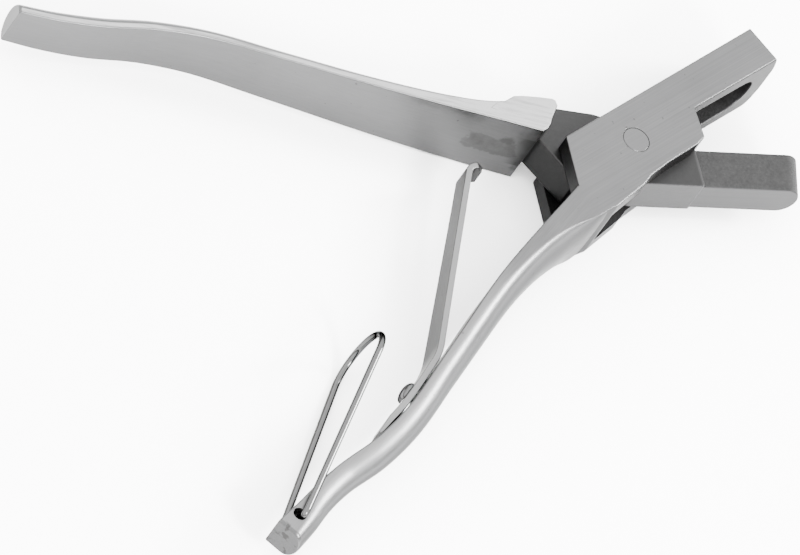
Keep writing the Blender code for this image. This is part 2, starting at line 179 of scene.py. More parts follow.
class HandleSizes(bpy.types.PropertyGroup):
    """Both handles."""
    splay: angle("Splay", "Each handle's chord from the tool's axis, open", 28.0)
    reach: length("Reach", "Root to end, along the chord", 147.3)
    bow: length("Bow", "The inner face bows outwards by this much", 5.5)
    lever_grip: length("Upper grip", "Inner face to the crown of the back", 5.8)
    body_grip: length("Lower grip", "The same on the lower handle", 6.9)
    flank: length("Flank", "Flat side strip beside the inner face", 1.0)
    lever_end: length("Upper end width", "Across the upper handle's end", 13.2)
    body_end: length("Lower end width", "Across the lower handle's end", 10.0)


class SpringSizes(bpy.types.PropertyGroup):
    """Leaf spring and its rivet."""
    width: length("Leaf width", "Across the leaf at its root bend", 11.4)
    tip_width: length("Tip width", "Across the leaf at its hook", 7.5)
    thickness: length("Leaf thickness", "Through the leaf", 1.8)
    arm: length("Arm", "Straight part between the root bend and the hook", 60.4)
    arm_angle: angle("Arm angle", "From the tool's axis, open", 52.3)
    hook: length("Hook radius", "Middle of the leaf round its hooked end", 2.9)
    rivet_head: length("Rivet head", "Diameter of the domed head", 6.4)
    rivet_dome: length("Rivet dome", "Height of the domed head", 1.9)


class BailSizes(bpy.types.PropertyGroup):
    """Wire bail that holds the handles shut."""
    wire: length("Wire", "Its diameter", 1.9)
    reach: length("Reach", "Hole to the middle of the wire at the loop", 69.2)
    loop: length("Loop radius", "The legs spread to this at the loop", 10.4)
    lift: angle("Lift", "As it lies, from the tool's axis", 42.5)
    lean: angle("Lean", "Twist of the loop, from its play in the hole", 10.0)
    bend: length("Bend", "Radius of the turn into the hole", 1.6)
    turn_in: length("Turn in", "Length of each end inside the hole", 2.6)


class SteelColours(bpy.types.PropertyGroup):
    """Colours of the steels and the floor."""
    satin: colour("Satin", "Polished forging", (0.058, 0.058, 0.0585))
    # also stands in for the painted highlight on the upper handle's near strip
    bright: colour("Bright", "Freshly ground strips and tab", (0.19, 0.19, 0.19))
    cast: colour("Cast", "Rough sides that were never ground", (0.0145, 0.0145, 0.0145))
    stain: colour("Stain", "Smoke and grease marks", (0.020, 0.0195, 0.019))
    leaf: colour("Leaf", "Spring steel strip", (0.055, 0.055, 0.055))
    wire: colour("Wire", "Drawn bright wire and rivet", (0.055, 0.055, 0.055))
    floor: colour("Floor", "Pale studio floor", (0.96, 0.96, 0.96))


class StudioSettings(bpy.types.PropertyGroup):
    """Camera, lamps and floor."""
    distance: length("Camera distance", "From the point it looks at", 5780.0)
    lens: bpy.props.FloatProperty(name="Lens", description="Focal length in millimetres",
                                  default=1000.0, min=1.0, unit="CAMERA")
    floor_radius: length("Floor radius", "The round floor", 9000.0)
    tent: bpy.props.FloatProperty(name="Tent", description="Brightness of the white tent",
                                  default=9.5, min=0.0)
    lamp_power: bpy.props.FloatProperty(name="Lamp power", description="Each softbox, in watts",
                                        default=70.0, min=0.0)


GROUPS = {"head": HeadSizes, "handle": HandleSizes, "spring": SpringSizes, "bail": BailSizes,
          "steel": SteelColours, "studio": StudioSettings}


class Sizes:
    """One PropertyGroup of the scene, read in millimetres; angles stay in radians."""

    def __init__(self, group):
        self.group = getattr(bpy.context.scene, "applicator_" + group)

    def __getattr__(self, name):
        value = getattr(self.group, name)
        unit = self.group.bl_rna.properties[name].unit
        return value / MM if unit == "LENGTH" else value


# Curves and outlines

def unit(vectors):
    """Vectors divided by their lengths."""
    return vectors / np.linalg.norm(vectors, axis=-1, keepdims=True)


def polar(radius, turn):
    """Points at a radius and an angle in radians; either may be an array."""
    return np.stack([radius * np.cos(turn), radius * np.sin(turn)], axis=-1)


def turned(points, turn):
    """Points turned about the pivot by an angle in radians."""
    cosine, sine = math.cos(turn), math.sin(turn)
    return np.asarray(points, float) @ np.array([[cosine, sine], [-sine, cosine]])


def mirrored(points):
    """Points of the XY plane mirrored in the X axis."""
    return np.asarray(points, float) * (1.0, -1.0)


def spline(knots, at):
    """Catmull-Rom curve: a cubic between knots, sloped at each as the chord of its neighbours."""
    x, y = np.array(knots, float).T
    at = np.asarray(at, float)
    i = np.clip(np.searchsorted(x, at) - 1, 0, len(x) - 2)
    before, after = np.maximum(i - 1, 0), np.minimum(i + 2, len(x) - 1)
    span = x[i + 1] - x[i]
    t = (at - x[i]) / span
    start = (y[i + 1] - y[before]) / (x[i + 1] - x[before]) * span
    stop = (y[after] - y[i]) / (x[after] - x[i]) * span
    return ((2 * t ** 3 - 3 * t ** 2 + 1) * y[i] + (t ** 3 - 2 * t ** 2 + t) * start
            + (3 * t ** 2 - 2 * t ** 3) * y[i + 1] + (t ** 3 - t ** 2) * stop)


def filleted(corners, radii, steps=5):
    """Closed outline in which an arc that touches both sides takes each corner's place.

    The arc's centre lies on the corner's bisector at radius / sin(half angle), and the arc is
    swept between its two touching points by spherical interpolation.
    """
    corners = np.asarray(corners, float)
    radii = np.broadcast_to(np.asarray(radii, float), len(corners))[:, None]
    back = unit(np.roll(corners, 1, axis=0) - corners)
    ahead = unit(np.roll(corners, -1, axis=0) - corners)
    half = np.arccos(np.clip((back * ahead).sum(1, keepdims=True), -1.0, 1.0)) / 2.0
    centre = corners + unit(back + ahead) * radii / np.sin(half)
    touch = radii / np.tan(half)
    first, last = corners + back * touch - centre, corners + ahead * touch - centre
    sweep = (np.pi - 2.0 * half)[:, None]
    share = np.linspace(0.0, 1.0, steps + 1)[None, :, None]
    arc = (np.sin((1.0 - share) * sweep) * first[:, None]
           + np.sin(share * sweep) * last[:, None]) / np.sin(sweep)
    return (centre[:, None] + arc).reshape(-1, 2)


def inset(outline, depth):
    """Outline moved inwards: each point along its mitre, the sum of its sides' normals."""
    side = unit(np.roll(outline, -1, axis=0) - outline)
    normal = np.stack([-side[:, 1], side[:, 0]], axis=-1)
    area = np.cross(outline, np.roll(outline, -1, axis=0)).sum()
    normal *= np.sign(area)
    last = np.roll(normal, 1, axis=0)
    mitre = (normal + last) / (1.0 + (normal * last).sum(1, keepdims=True))
    return outline + mitre * depth


# Surfaces

def skin(rings):
    """Quads between neighbouring rings of one closed grid, and a flat cap at each end."""
    rows, count = rings.shape[:2]
    index = np.arange(rows * count).reshape(rows, count)
    low, high = index[:-1], index[1:]
    quads = np.stack([low, np.roll(low, -1, axis=1), np.roll(high, -1, axis=1), high], axis=-1)
    faces = quads.reshape(-1, 4).tolist() + [index[0][::-1].tolist(), index[-1].tolist()]
    return rings.reshape(-1, 3), faces


def rounded_prism(outline, low, high, rim, steps=4):
    """Rings of an extruded outline whose rims follow a quarter circle: (a, b, height)."""
    turn = np.linspace(0.0, np.pi / 2.0, steps + 1)
    depth = rim * (1.0 - np.sin(turn))
    rise = rim * (1.0 - np.cos(turn))
    levels = np.concatenate([low + rise, (high - rise)[::-1]])
    depths = np.concatenate([depth, depth[::-1]])
    flat = np.stack([inset(outline, d) for d in depths])
    tall = np.broadcast_to(levels[:, None, None], flat.shape[:2] + (1,))
    return np.concatenate([flat, tall], axis=-1)


def revolved(profile, seat, axis, segments=64):
    """Rings of (radius, height) points turned about an axis through seat.

    Each point is seat + axis * height + (across * cosine + other * sine) * radius.
    """
    axis = np.asarray(axis, float)
    across = unit(np.cross(axis, UPRIGHT if abs(axis[2]) < 0.9 else (1.0, 0.0, 0.0)))
    other = np.cross(axis, across)
    turn = np.linspace(0.0, 2.0 * np.pi, segments, endpoint=False)[None, :, None]
    radius, height = np.array(profile, float).T[:, :, None, None]
    return np.asarray(seat, float) + axis * height + (across * np.cos(turn)
                                                      + other * np.sin(turn)) * radius


def tube(path, radius, sides=20):
    """Rings of a round wire along a plane path in 3-D.

    Each ring is a circle in the path's normal and the normal of the path's own plane.
    """
    way = unit(np.gradient(path, axis=0))
    flat = unit(np.cross(path[2] - path[0], path[len(path) // 2] - path[0]))
    normal = np.cross(way, flat)
    turn = np.linspace(0.0, 2.0 * np.pi, sides, endpoint=False)[None, :, None]
    return path[:, None] + radius * (normal[:, None] * np.cos(turn) + flat * np.sin(turn))


# The tool's own lines

def head_corners(jaw_end, outer, face, throat):
    """Corners of cheeks and jaw from the tip round, in jaw coordinates, and their radii.

    throat lists the corners between the belly and the biting face.
    """
    head = Sizes("head")
    h, tilt = head.half_height, head.jaw_angle
    web = turned(WEB, -tilt)
    jaw = [(jaw_end, face, 0.5), (jaw_end, outer, 0.8)]
    heel = [(-17.9, outer, 0.7), (-25.8, -2.6, 0.6), (*web[0], 0.8), (*web[1], 0.9)]
    belly = [(-20.2, -13.0, 4.0), (-7.4, -11.5, 7.0), (-4.0, -10.4, 7.0), (3.9, -h - 0.1, 9.0),
             (15.6, -h + 0.1, 5.0), (19.2, -h + 0.9, 0.9)]
    table = np.array([*jaw, *heel, *belly, *throat])
    return table[:, :2], table[:, 2]


def head_prism(jaw_end, outer, face, throat, low, high, rim, side):
    """Head forging between two heights; side is 1 for the body and -1 for the lever."""
    corners, radii = head_corners(jaw_end, outer, face, throat)
    outline = turned(filleted(corners, radii), Sizes("head").jaw_angle) * (1.0, side)
    return rounded_prism(outline, low, high, rim)


def handle_point(along):
    """Inner face of the upper handle: the chord, pushed outwards by the bow's share."""
    handle = Sizes("handle")
    chord = polar(1.0, math.pi - handle.splay)
    outward = np.array([chord[1], -chord[0]])
    along = np.asarray(along, float)[..., None]
    bow = handle.bow * spline(BOW, along / handle.reach)
    return ROOT_INNER + chord * along + outward * bow


def handle_outward(along):
    """Unit normal of the inner face's line, towards the rounded back."""
    along = np.asarray(along, float)
    tangent = unit(handle_point(along + 0.5) - handle_point(along - 0.5))
    return np.stack([tangent[..., 1], -tangent[..., 0]], axis=-1)


def handle_template(steps=28, corner_steps=4):
    """Weights of half width, corner, flank and crown round a D-shaped section.

    Quarter circles at the two lower corners, and a half ellipse over the flank for the back.
    """
    low = np.linspace(-np.pi / 2.0, 0.0, corner_steps + 1)
    back = np.linspace(0.0, np.pi, steps + 1)
    one, none, flat = np.ones_like(low), np.zeros_like(low), np.zeros_like(back)
    right = np.stack([one, np.cos(low) - 1.0, 1.0 + np.sin(low), none, none])
    crown = np.stack([np.cos(back), flat, flat, flat + 1.0, np.sin(back)])
    left = right[:, ::-1] * np.array([-1.0, -1.0, 1.0, 1.0, 1.0])[:, None]
    return np.concatenate([right, crown, left], axis=1)


def handle_rings(side, reach, grip, end_width, narrow_to, end_thickness, end_flank, shift,
                 end_round, stations=150):
    """One handle: D-shaped sections along the bowed line, drawn in round at the end.

    side is 1 for the upper handle and -1 for the lower one. The width narrows evenly up to the
    share narrow_to. shift moves the faces outwards, as (share, distance) knots. The end's last
    millimetres shrink along a quarter circle.
    """
    head, handle = Sizes("head"), Sizes("handle")
    crowding, narrow_from, untwisted_from, corner_radius = 1.15, 0.07, 0.1, 0.5
    end_depth = 0.75    # of the rounded end, as a share of its length
    run = np.linspace(0.0, 1.0, stations) ** crowding * (reach - end_round)
    turn = np.linspace(0.0, np.pi / 2.0, 9)[1:]
    along = np.concatenate([run, reach - end_round + end_round * np.sin(turn)])
    drawn = np.concatenate([np.zeros(stations), end_round * end_depth * (1.0 - np.cos(turn))])
    share = along / reach
    thickness = spline([(-0.2, ROOT_THICKNESS), (0.0, ROOT_THICKNESS), (0.03, 10.5),
                        *[(place, grip + more) for place, more in SWELL],
                        (1.0, end_thickness), (1.2, end_thickness)], share)
    flank = spline([*ROOT_FLANK, (0.4, handle.flank), (0.86, handle.flank),
                    (1.0, end_flank), (1.2, end_flank)], share)
    narrow = np.clip((share - narrow_from) / (narrow_to - narrow_from), 0.0, 1.0)
    half = (head.joint_width + (end_width - head.joint_width) * narrow) / 2.0 - drawn
    outward = handle_outward(along)
    direction = np.arctan2(outward[:, 1], outward[:, 0])
    skew = math.radians(ROOT_SKEW)
    direction = skew + (direction - skew) * np.clip(share / untwisted_from, 0.0, 1.0)
    flank = np.minimum(flank, thickness - 0.3) - drawn * 0.3
    crown = thickness - drawn * 0.5 - flank
    moved = spline(shift, share)[:, None]
    wide, corner, low, level, rise = handle_template()
    across = half[:, None] * wide + corner_radius * corner
    height = moved + corner_radius * low + flank[:, None] * level + crown[:, None] * rise
    place = handle_point(along)[:, None] + polar(1.0, direction)[:, None] * height[..., None]
    place = place * (1.0, side)
    return np.concatenate([place, (head.joint_width / 2.0 + across)[..., None]], axis=-1)


def bail_hole_place():
    """Middle of the cross hole in the lower handle's end block."""
    along = Sizes("handle").reach + END_BLOCK_LENGTH - BAIL_HOLE_BACK
    return mirrored(handle_point(along) + handle_outward(along) * BAIL_HOLE_DEPTH)


def lower_face(along):
    """Inner face of the lower handle and its normal, which points to the upper handle."""
    handle = Sizes("handle")
    along = np.asarray(along, float)
    shift = spline(LOWER_SHIFT, along / (handle.reach + END_BLOCK_LENGTH))[..., None]
    outward = handle_outward(along)
    return mirrored(handle_point(along) + outward * shift), -mirrored(outward)


def leaf_seat(along):
    """Middle of the leaf over the lower handle, and the normal there."""
    place, inward = lower_face(along)
    return place + inward * (Sizes("spring").thickness / 2.0 + SEAT_GAP), inward


def spring_rivet_seat():
    """Seat of the spring rivet's head on the leaf, and the way in which it stands up."""
    place, inward = leaf_seat(LEAF_BEND_AT + SPRING_RIVET_AT)
    seat = place + inward * (Sizes("spring").thickness / 2.0 + 0.1)
    return (*seat, Sizes("head").joint_width / 2.0), (*inward, 0.0)


def leaf_path():
    """Middle line of the leaf in the XY plane: foot, root bend, arm, hook and tail.

    The foot follows the lower handle, the two bends are arcs, and arm and tail are straight;
    each part starts where and in the way in which the last one ends.
    """
    spring = Sizes("spring")
    foot, normals = leaf_seat(LEAF_BEND_AT + np.linspace(LEAF_FOOT, 0.0, 40))
    inward = normals[-1]
    heading = math.atan2(-inward[0], inward[1])
    arm, hook = spring.arm_angle, math.radians(HOOK_TURN)
    turn = np.linspace(heading, arm, 20)[1:]
    root = foot[-1] + inward * LEAF_BEND_RADIUS + polar(LEAF_BEND_RADIUS, turn - np.pi / 2.0)
    blade = root[-1] + polar(1.0, arm) * np.linspace(0.0, spring.arm, 60)[1:, None]
    turn = np.linspace(arm, arm - hook, 28)[1:]
    centre = blade[-1] + polar(spring.hook, arm - np.pi / 2.0)
    curl = centre + polar(spring.hook, turn + np.pi / 2.0)
    tail = curl[-1] + polar(1.0, arm - hook) * np.linspace(0.0, HOOK_TAIL, 5)[1:, None]
    return np.concatenate([foot, root, blade, curl, tail])


# Meshes

def mesh_piece(name, surface):
    """An object at the origin from (vertices in millimetres, faces)."""
    vertices, faces = surface
    mesh = bpy.data.meshes.new(name)
    mesh.from_pydata((vertices * MM).tolist(), [], faces)
    piece = bpy.data.objects.new(name, mesh)
    bpy.context.scene.collection.objects.link(piece)
    tidy_mesh(mesh)
    return piece


def tidy_mesh(mesh, merge=1e-7):
    """Merge doubles and turn every face outwards."""
    work = bmesh.new()
    work.from_mesh(mesh)
    bmesh.ops.remove_doubles(work, verts=work.verts, dist=merge)
    bmesh.ops.recalc_face_normals(work, faces=work.faces)
    work.to_mesh(mesh)
    work.free()


def applied(piece):
    """Put the result of the piece's modifiers into its mesh."""
    graph = bpy.context.evaluated_depsgraph_get()
    mesh = bpy.data.meshes.new_from_object(piece.evaluated_get(graph))
    piece.modifiers.clear()
    old, piece.data = piece.data, mesh
    bpy.data.meshes.remove(old)
    mesh.name = piece.name


def combined(piece, tools, operation):
    """Join tools to the piece or cut them from it, and take them away."""
    for tool in tools:
        modifier = piece.modifiers.new(tool.name, "BOOLEAN")
        modifier.operation = operation
        modifier.solver = "EXACT"
        modifier.object = tool
    applied(piece)
    for tool in tools:
        bpy.data.objects.remove(tool, do_unlink=True)


def drill(name, diameter, low, high, seat=PIVOT, axis=UPRIGHT, segments=64):
    """A round cutter about an axis, from low to high along it from its seat."""
    radius = diameter / 2.0
    return mesh_piece(name, skin(revolved([(radius, low), (radius, high)], seat, axis,
                                          segments)))


def shaded(piece, sharp_angle=32.0):
    """Smooth shading that breaks at sharp edges, with large flat faces kept flat."""
    piece.data.shade_smooth()
    piece.data.set_sharp_from_angle(angle=math.radians(sharp_angle))
    weighted = piece.modifiers.new("flat faces", "WEIGHTED_NORMAL")
    weighted.keep_sharp = True
    weighted.weight = 80
    applied(piece)


def dressed(piece, material, body, slot, *nodes):
    """Give a finished piece its material and the body it rides on, and hide the nodes it stands
    for.

    body is None for a piece that rides on no body.
    """
    piece.data.materials.clear()
    piece.data.materials.append(material)
    if body:
        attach(piece, body)
    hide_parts(*nodes)


# Finishes

class Tone:
    """One number of a shader. Arithmetic on it, on either side, adds Math nodes."""

    def __init__(self, nodes, socket):
        self.nodes = nodes
        self.socket = socket

    def maths(self, operation, *values):
        """Result of one Math node."""
        node = self.nodes.node("ShaderNodeMath", {"operation": operation},
                               dict(enumerate(values)))
        return Tone(self.nodes, node.outputs[0])

    def __add__(self, other):
        return self.maths("ADD", self, other)

    def __radd__(self, other):
        return self.maths("ADD", other, self)

    def __sub__(self, other):
        return self.maths("SUBTRACT", self, other)

    def __rsub__(self, other):
        return self.maths("SUBTRACT", other, self)

    def __mul__(self, other):
        return self.maths("MULTIPLY", self, other)

    def __rmul__(self, other):
        return self.maths("MULTIPLY", other, self)

    def __pow__(self, other):
        return self.maths("POWER", self, other)

    def __rpow__(self, other):
        return self.maths("POWER", other, self)

    def __abs__(self):
        return self.maths("ABSOLUTE", self)

    def highest(self, other):
        """The larger of the two."""
        return self.maths("MAXIMUM", self, other)

    def lowest(self, other):
        """The smaller of the two."""
        return self.maths("MINIMUM", self, other)

    def rises(self, low, high):
        """0 below low and 1 above high, smooth between; the other way round if low is more."""
        node = self.nodes.node("ShaderNodeMapRange", {"interpolation_type": "SMOOTHSTEP"},
                               {"Value": self, "From Min": low, "From Max": high})
        return Tone(self.nodes, node.outputs["Result"])

    def within(self, low, high, soft):
        """1 between low and high, falling to 0 over soft outside them."""
        return self.rises(low - soft, low) * self.rises(high + soft, high)


class Nodes:
    """A node tree that is emptied and filled again by one maker of nodes."""

    def __init__(self, tree):
        self.tree = tree
        self.tree.nodes.clear()

    def node(self, kind, settings=None, values=None):
        """The one maker of nodes: settings first, then numbers or links for the sockets."""
        made = self.tree.nodes.new(kind)
        for key, value in (settings or {}).items():
            setattr(made, key, value)
        for key, value in (values or {}).items():
            if isinstance(value, Tone):
                value = value.socket
            if isinstance(value, bpy.types.NodeSocket):
                self.tree.links.new(value, made.inputs[key])
            else:
                made.inputs[key].default_value = value
        return made

    def split(self, vector):
        """The three parts of a vector."""
        node = self.node("ShaderNodeSeparateXYZ", None, {0: vector})
        return [Tone(self, node.outputs[i]) for i in range(3)]


class Finish(Nodes):
    """A steel material in the making. Places are in millimetres in the tool's frame."""

    def __init__(self, name):
        self.material = bpy.data.materials.new(name)
        self.material.use_nodes = True
        super().__init__(self.material.node_tree)
        coordinates = self.node("ShaderNodeTexCoord")
        scaled = self.node("ShaderNodeVectorMath", {"operation": "SCALE"},
                           {"Vector": coordinates.outputs["Object"], "Scale": 1.0 / MM})
        self.place = scaled.outputs[0]
        self.x, self.y, self.z = self.split(self.place)
        self.facing = self.split(coordinates.outputs["Normal"])

    def vector(self, x, y, z):
        """A vector of three tones or numbers."""
        return self.node("ShaderNodeCombineXYZ", None, {0: x, 1: y, 2: z}).outputs[0]

    def noise(self, vector, scale, detail=3.0, roughness=0.55):
        """Cloudy noise between 0 and 1, about 0.5 in the middle."""
        node = self.node("ShaderNodeTexNoise", {"noise_dimensions": "3D"},
                         {"Vector": vector, "Scale": scale, "Detail": detail,
                          "Roughness": roughness})
        return Tone(self, node.outputs[0])

    def axes(self, turn):
        """Distances along and across a line through the pivot, at an angle in the XY plane."""
        cosine, sine = math.cos(turn), math.sin(turn)
        return self.x * cosine + self.y * sine, self.y * cosine - self.x * sine

    def along_handle(self, side):
        """Distance from a handle's root along its chord; side is 1 for the upper one."""
        splay = Sizes("handle").splay
        return ((self.y * side - ROOT_INNER[1]) * math.sin(splay)
                - (self.x - ROOT_INNER[0]) * math.cos(splay))

    def lines_along(self, turn, along=0.02, across=2.4):
        """Fine brush lines that run at an angle in the XY plane."""
        run, rest = self.axes(turn)
        grain = self.vector(run * along, rest * across, self.z * across)
        return self.noise(grain, 1.0, 4.0, 0.7)

    def looks(self, direction, low, high):
        """How far a face looks in a direction: 0 at a cosine of low, 1 at high."""
        direction = unit(np.array(direction, float))
        cosine = sum(tone * float(part) for tone, part in zip(self.facing, direction))
        return cosine.rises(low, high)

    def spot(self, x, y, radius, soft):
        """1 within a radius of a point of the XY plane, falling to 0 over soft."""
        square = (self.x - x) ** 2.0 + (self.y - y) ** 2.0
        return (square ** 0.5).rises(radius + soft, radius)

    def mixed(self, factor, first, second):
        """Colour between two, by a factor."""

        def as_colour(value):
            return value if isinstance(value, bpy.types.NodeSocket) else (*value, 1.0)

        node = self.node("ShaderNodeMix", {"data_type": "RGBA"},
                         {"Factor": factor, 6: as_colour(first), 7: as_colour(second)})
        return node.outputs[2]

    def shaded(self, base, tone):
        """Colour multiplied by a grey tone."""
        grey = self.vector(tone, tone, tone)
        node = self.node("ShaderNodeVectorMath", {"operation": "MULTIPLY"},
                         {0: base, 1: grey})
        return node.outputs[0]

    def steel(self, base, roughness, height=None, depth=0.02, edge=0.25, grazing=1.0):
        """Join colour, roughness and relief to a metal surface with softened edges.

        grazing below 1 takes the white off faces that are seen almost edge on.
        """
        soft = self.node("ShaderNodeBevel", {"samples": 4}, {"Radius": edge * MM})
        normal = soft.outputs[0]
        if height is not None:
            bump = self.node("ShaderNodeBump", None,
                             {"Strength": 1.0, "Distance": depth * MM, "Height": height,
                              "Normal": normal})
            normal = bump.outputs[0]
        shader = self.node("ShaderNodeBsdfPrincipled", None,
                           {"Base Color": base, "Metallic": 1.0, "Roughness": roughness,
                            "Specular Tint": (grazing, grazing, grazing, 1.0),
                            "Normal": normal})
        self.node("ShaderNodeOutputMaterial", None, {"Surface": shader.outputs[0]})
        return self.material


def body_finish():
    """Polished forging: brushed along jaw and handle, rough and darkened with painted shade in
    slot and channel; painted highlights and shade follow the way the faces look.
    """
    head, handle, colours = Sizes("head"), Sizes("handle"), Sizes("steel")
    finish = Finish("polished_forging")
    tilt, splay = head.jaw_angle, handle.splay
    u, v = finish.axes(tilt)
    depth = abs(finish.z - head.joint_width / 2.0)

    # inside the slot, up to its slanted back, and inside the tag channel: rough steel that is
    # darkened with painted shade
    back, wall = np.array(SLOT_BACK), head.hub_width / 2.0
    run = unit(np.array(SLOT_BELLY) - back)
    ahead = (finish.x * -float(run[1]) + finish.y * float(run[0])
             - float(back[1] * run[0] - back[0] * run[1]))
    slot = (depth.rises(wall + 0.8, wall + 0.4) * finish.x.rises(-27.0, -26.0)
            * u.rises(head.throat + 1.2, head.throat + 0.2) * ahead.rises(-0.66, -0.26))
    wall, end = head.channel_width / 2.0, head.upper_jaw - NOSE_LENGTH
    channel = (depth.rises(wall + 0.4, wall + 0.1) * u.rises(19.0, 20.0)
               * u.rises(end + 0.4, end) * v.rises(0.1 - FACE_OFFSET, 0.35 - FACE_OFFSET)
               * v.rises(head.channel_depth, head.channel_depth - 0.4))
    shaded_recess = slot.highest(channel)

    # brush lines that follow the jaw and then the handle, and the clouds and pits of the steel
    on_head = finish.x.rises(-32.0, -18.0)
    on_handle = 1.0 - on_head
    lines = finish.lines_along(tilt) * on_head + finish.lines_along(splay) * on_handle
    cloud = finish.noise(finish.place, 0.045, 3.0)
    grain = finish.noise(finish.place, 1.6, 4.0, 0.7)
    pits = finish.noise(finish.place, 0.55, 2.0).rises(0.70, 0.76)

    # painted highlight and reflection: the rounded back of the handle is painted lighter, less so
    # where it faces straight outwards, and its flat strip facing up is painted lighter still
    outward = (math.sin(splay), -math.cos(splay), 0.0)
    crown = finish.looks(outward, 0.08, 0.4) * on_handle
    painted_crown_dimming = finish.looks(outward, 0.8, 0.98) * on_handle
    strip = finish.looks(UPRIGHT, 0.93, 0.99) * finish.x.rises(-50.0, -70.0)

    # painted shade: the biting face and the undersides that look down are painted darker, and so
    # are the cheeks' heels that face backwards; the end block is painted darker too
    underside_shade = finish.looks((math.sin(tilt), -math.cos(tilt), 0.0), 0.25, 0.7) \
        * finish.x.rises(-2.0, 8.0)
    heel = finish.looks((-1.0, 0.0, 0.0), 0.6, 0.85) * finish.x.rises(-34.0, -30.0)
    along = finish.along_handle(-1.0)
    end_block = along.rises(handle.reach - 9.0, handle.reach)
    tone = (0.93 + (cloud - 0.5) * 0.24 + (lines - 0.5) * 0.5 + crown * 0.45
            - painted_crown_dimming * 0.25 + strip * 0.5 - underside_shade * 0.42 - heel * 0.4 - end_block * 0.14)

    # pits, blots on the end block's face and a crease beside the pivot rivet
    end_face = along.rises(handle.reach + 3.6, handle.reach + 4.4)
    blot = finish.noise(finish.place, 0.42, 3.0).rises(0.56, 0.66) * end_face
    crease = (finish.spot(-2.6, -1.0, 1.1, 0.5) * lines.rises(0.5, 0.62)
              * finish.z.rises(head.joint_width - 1.0, head.joint_width - 0.5))
    marks = (pits * 0.55).highest(blot * 0.75).highest(crease * 0.8)
    polished = finish.mixed(marks, finish.shaded((*colours.satin,), tone), (*colours.stain,))

    # painted shade: the rough walls are painted darker towards the back of the slot, where little
    # light gets in
    unlit = 1.0 - finish.x.rises(-10.0, -14.0) * 0.7
    dark = finish.shaded((*colours.cast,), (0.3 + grain * 1.3) * unlit)
    base = finish.mixed(shaded_recess, polished, dark)
    roughness = (0.34 + (lines - 0.5) * 0.2 + (cloud - 0.5) * 0.1) * (1.0 - shaded_recess) + shaded_recess * 0.6
    height = lines * 0.5 * (1.0 - shaded_recess) + grain * shaded_recess * 5.0
    return finish.steel(base, roughness, height, grazing=0.45)


